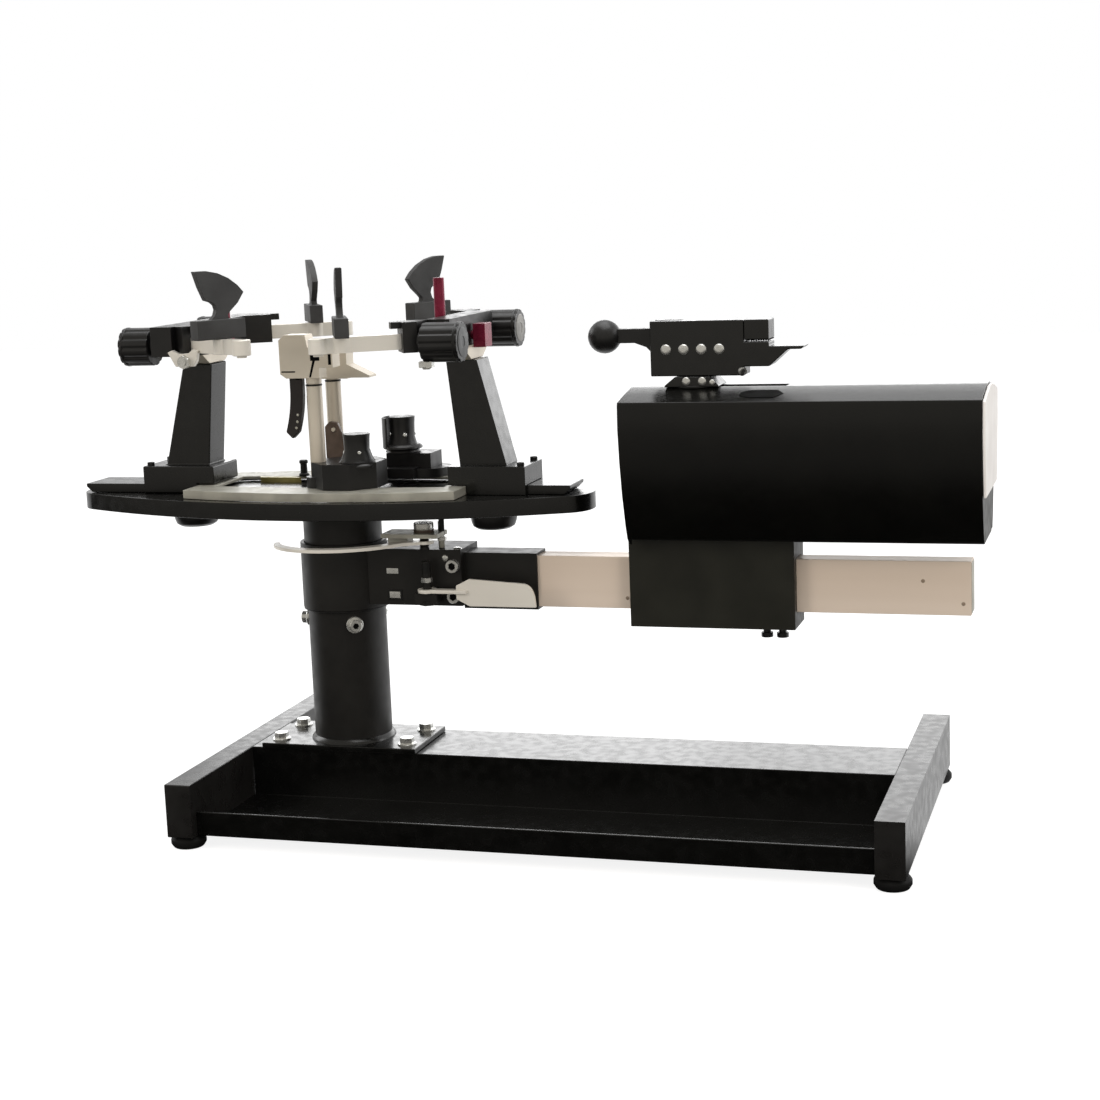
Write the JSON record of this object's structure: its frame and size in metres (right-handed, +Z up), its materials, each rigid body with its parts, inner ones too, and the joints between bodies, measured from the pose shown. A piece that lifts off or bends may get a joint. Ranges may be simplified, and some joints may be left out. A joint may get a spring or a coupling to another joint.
{
  "type": "racket stringing machine",
  "caption": "Bench machine that holds a racket on a turning table while a tension head on a rail pulls each string, on a steel base with a tool tray.",
  "frame": {"origin": "on the surface that the machine stands on, below the middle of its outer box", "axes": "+X along the rail from the turning table to the tension head, +Y towards the back of the base, away from the tool tray, +Z up"},
  "size_m": [0.891, 0.356, 0.5315],
  "materials": {
    "black_paint": "satin black powder coat",
    "gloss_black": "gloss black enamel",
    "black_plastic": "fine matt moulding",
    "hook_plastic": "matt charcoal moulding",
    "foot_rubber": "matt black rubber",
    "rail_aluminium": "brushed lengthwise",
    "bright_steel": "fine ground",
    "cast_silver": "tumbled casting",
    "red_anodised": "red anodised",
    "pale_panel": "pale grey moulding"
  },
  "bodies": {
    "base": {"left_crossbar": "black_paint", "right_crossbar": "black_paint", "base_pan": "black_paint", "foot_front_left": "foot_rubber", "foot_front_right": "foot_rubber", "foot_rear_left": "foot_rubber", "foot_rear_right": "foot_rubber", "column_plate": "black_paint", "column_tube": "black_paint", "rail_collar": "black_paint", "bearing_block": "bright_steel", "rail_bracket": "black_paint", "rail": "rail_aluminium", "brake_plate": "cast_silver"},
    "brake_lever": {"brake_lever": "bright_steel"},
    "lock_lever": {"lock_lever": "bright_steel"},
    "turntable": {"spindle": "bright_steel", "turntable_plate": "black_paint", "slide_bar": "black_paint", "glide_plate": "bright_steel"},
    "head": {"head_bracket": "black_paint", "head_chassis": "black_paint", "head_cover": "gloss_black", "head_end_panel": "pale_panel"},
    "thumb_screw_1": {"thumb_screw_1": "black_plastic"},
    "thumb_screw_2": {"thumb_screw_2": "black_plastic"},
    "gripper": {"gripper_carriage": "black_paint", "gripper_body": "black_paint"},
    "gripper_jaw": {"gripper_jaw": "black_paint"},
    "gripper_lever": {"gripper_lever": "black_plastic"},
    "holder_left": {"holder_post_left": "black_paint", "post_cap_left": "cast_silver", "arm_carrier_left": "black_plastic", "centre_support_left": "red_anodised"},
    "holder_lock_knob_left": {"holder_lock_knob_left": "black_plastic"},
    "arm_front_left": {"arm_bar_front_left": "bright_steel"},
    "hook_front_left": {"hook_front_left": "hook_plastic"},
    "adjust_knob_front_left": {"adjust_knob_front_left": "black_plastic"},
    "arm_rear_left": {"arm_bar_rear_left": "bright_steel"},
    "hook_rear_left": {"hook_rear_left": "hook_plastic"},
    "adjust_knob_rear_left": {"adjust_knob_rear_left": "black_plastic"},
    "holder_right": {"holder_post_right": "black_paint", "post_cap_right": "cast_silver", "arm_carrier_right": "black_plastic", "centre_support_right": "red_anodised"},
    "holder_lock_knob_right": {"holder_lock_knob_right": "black_plastic"},
    "arm_front_right": {"arm_bar_front_right": "bright_steel"},
    "hook_front_right": {"hook_front_right": "hook_plastic"},
    "adjust_knob_front_right": {"adjust_knob_front_right": "black_plastic"},
    "arm_rear_right": {"arm_bar_rear_right": "bright_steel"},
    "hook_rear_right": {"hook_rear_right": "hook_plastic"},
    "adjust_knob_rear_right": {"adjust_knob_rear_right": "black_plastic"},
    "clamp_base_front": {"clamp_base_front": "black_plastic"},
    "clamp_paddle_front": {"clamp_paddle_front": "black_plastic"},
    "clamp_tower_front": {"clamp_tower_front": "cast_silver"},
    "clamp_lever_front": {"clamp_lever_front": "black_plastic"},
    "clamp_base_rear": {"clamp_base_rear": "black_plastic"},
    "clamp_paddle_rear": {"clamp_paddle_rear": "black_plastic"},
    "clamp_tower_rear": {"clamp_tower_rear": "cast_silver"},
    "clamp_lever_rear": {"clamp_lever_rear": "black_plastic"}
  },
  "joints": [
    {"name": "turntable_turn", "type": "hinge", "parent": "base", "child": "turntable", "pos_m": [-0.1745, 0, 0.297], "axis": [0, 0, 1], "continuous": true},
    {"name": "brake_lever_turn", "type": "hinge", "parent": "base", "child": "brake_lever", "pos_m": [-0.0805, -0.027, 0.268], "axis": [0, 0, 1], "range_deg": [-12, 25]},
    {"name": "lock_lever_turn", "type": "hinge", "parent": "base", "child": "lock_lever", "pos_m": [-0.0765, -0.036, 0.222], "axis": [0, 0, 1], "range_deg": [-60, 0]},
    {"name": "head_travel", "type": "slide", "parent": "base", "child": "head", "axis": [1, 0, 0], "range_m": [0, 0.14]},
    {"name": "thumb_screw_1_turn", "type": "hinge", "parent": "head", "child": "thumb_screw_1", "pos_m": [0.242, 0, 0.185], "axis": [0, 0, 1], "continuous": true},
    {"name": "thumb_screw_2_turn", "type": "hinge", "parent": "head", "child": "thumb_screw_2", "pos_m": [0.2565, 0, 0.185], "axis": [0, 0, 1], "continuous": true},
    {"name": "gripper_travel", "type": "slide", "parent": "head", "child": "gripper", "axis": [1, 0, 0], "range_m": [0, 0.06]},
    {"name": "gripper_lever_lift", "type": "hinge", "parent": "gripper", "child": "gripper_lever", "pos_m": [0.1595, 0, 0.457], "axis": [0, 1, 0], "range_deg": [0, 25]},
    {"name": "gripper_jaw_lift", "type": "slide", "parent": "gripper", "child": "gripper_jaw", "axis": [0, 0, 1], "range_m": [0, 0.003]},
    {"name": "holder_left_travel", "type": "slide", "parent": "turntable", "child": "holder_left", "axis": [-1, 0, 0], "range_m": [0, 0.035]},
    {"name": "holder_lock_knob_left_turn", "type": "hinge", "parent": "holder_left", "child": "holder_lock_knob_left", "pos_m": [-0.3301, 0, 0.287], "axis": [0, 0, 1], "continuous": true},
    {"name": "arm_front_left_travel", "type": "slide", "parent": "holder_left", "child": "arm_front_left", "axis": [0.8634, -0.5045, 0], "range_m": [0, 0.012]},
    {"name": "hook_front_left_swivel", "type": "hinge", "parent": "arm_front_left", "child": "hook_front_left", "pos_m": [-0.23775, -0.10684, 0.478], "axis": [0, 0, 1], "range_deg": [-15, 15]},
    {"name": "adjust_knob_front_left_turn", "type": "hinge", "parent": "holder_left", "child": "adjust_knob_front_left", "pos_m": [-0.3175, -0.079, 0.461], "axis": [-1, 0, 0], "continuous": true},
    {"name": "arm_rear_left_travel", "type": "slide", "parent": "holder_left", "child": "arm_rear_left", "axis": [0.8634, 0.5045, 0], "range_m": [0, 0.012]},
    {"name": "hook_rear_left_swivel", "type": "hinge", "parent": "arm_rear_left", "child": "hook_rear_left", "pos_m": [-0.23775, 0.10684, 0.478], "axis": [0, 0, 1], "range_deg": [-15, 15]},
    {"name": "adjust_knob_rear_left_turn", "type": "hinge", "parent": "holder_left", "child": "adjust_knob_rear_left", "pos_m": [-0.3175, 0.079, 0.461], "axis": [-1, 0, 0], "continuous": true},
    {"name": "holder_right_travel", "type": "slide", "parent": "turntable", "child": "holder_right", "axis": [1, 0, 0], "range_m": [0, 0.035]},
    {"name": "holder_lock_knob_right_turn", "type": "hinge", "parent": "holder_right", "child": "holder_lock_knob_right", "pos_m": [-0.0189, 0, 0.287], "axis": [0, 0, 1], "continuous": true},
    {"name": "arm_front_right_travel", "type": "slide", "parent": "holder_right", "child": "arm_front_right", "axis": [-0.8634, -0.5045, 0], "range_m": [0, 0.012]},
    {"name": "hook_front_right_swivel", "type": "hinge", "parent": "arm_front_right", "child": "hook_front_right", "pos_m": [-0.11903, -0.11138, 0.478], "axis": [0, 0, 1], "range_deg": [-15, 15]},
    {"name": "adjust_knob_front_right_turn", "type": "hinge", "parent": "holder_right", "child": "adjust_knob_front_right", "pos_m": [-0.0525, -0.086, 0.461], "axis": [1, 0, 0], "continuous": true},
    {"name": "arm_rear_right_travel", "type": "slide", "parent": "holder_right", "child": "arm_rear_right", "axis": [-0.8634, 0.5045, 0], "range_m": [0, 0.012]},
    {"name": "hook_rear_right_swivel", "type": "hinge", "parent": "arm_rear_right", "child": "hook_rear_right", "pos_m": [-0.11903, 0.11138, 0.478], "axis": [0, 0, 1], "range_deg": [-15, 15]},
    {"name": "adjust_knob_rear_right_turn", "type": "hinge", "parent": "holder_right", "child": "adjust_knob_rear_right", "pos_m": [-0.0525, 0.086, 0.461], "axis": [1, 0, 0], "continuous": true},
    {"name": "clamp_front_travel", "type": "slide", "parent": "turntable", "child": "clamp_base_front", "axis": [1, 0, 0], "range_m": [-0.04, 0.04]},
    {"name": "clamp_paddle_front_turn", "type": "hinge", "parent": "clamp_base_front", "child": "clamp_paddle_front", "pos_m": [-0.1395, -0.038, 0.346], "axis": [0, 0, 1], "range_deg": [-60, 60]},
    {"name": "clamp_tower_front_swivel", "type": "hinge", "parent": "clamp_base_front", "child": "clamp_tower_front", "pos_m": [-0.1805, -0.036, 0.34], "axis": [0, 0, 1], "range_deg": [-12, 12]},
    {"name": "clamp_lever_front_lift", "type": "hinge", "parent": "clamp_tower_front", "child": "clamp_lever_front", "pos_m": [-0.1975, -0.036, 0.422], "axis": [0, 1, 0], "range_deg": [0, 45]},
    {"name": "clamp_rear_travel", "type": "slide", "parent": "turntable", "child": "clamp_base_rear", "axis": [1, 0, 0], "range_m": [-0.04, 0.02]},
    {"name": "clamp_paddle_rear_turn", "type": "hinge", "parent": "clamp_base_rear", "child": "clamp_paddle_rear", "pos_m": [-0.1245, 0.044, 0.345], "axis": [0, 0, 1], "range_deg": [-60, 60]},
    {"name": "clamp_tower_rear_swivel", "type": "hinge", "parent": "clamp_base_rear", "child": "clamp_tower_rear", "pos_m": [-0.1855, 0.022, 0.34], "axis": [0, 0, 1], "range_deg": [-12, 12]},
    {"name": "clamp_lever_rear_lift", "type": "hinge", "parent": "clamp_tower_rear", "child": "clamp_lever_rear", "pos_m": [-0.1825, 0.012, 0.371], "axis": [0, 1, 0], "range_deg": [0, 45]}
  ],
  "couplings": [
    {"joint": "gripper_jaw_lift", "follows": "gripper_lever_lift", "m_per_rad": 0.00687}
  ]
}
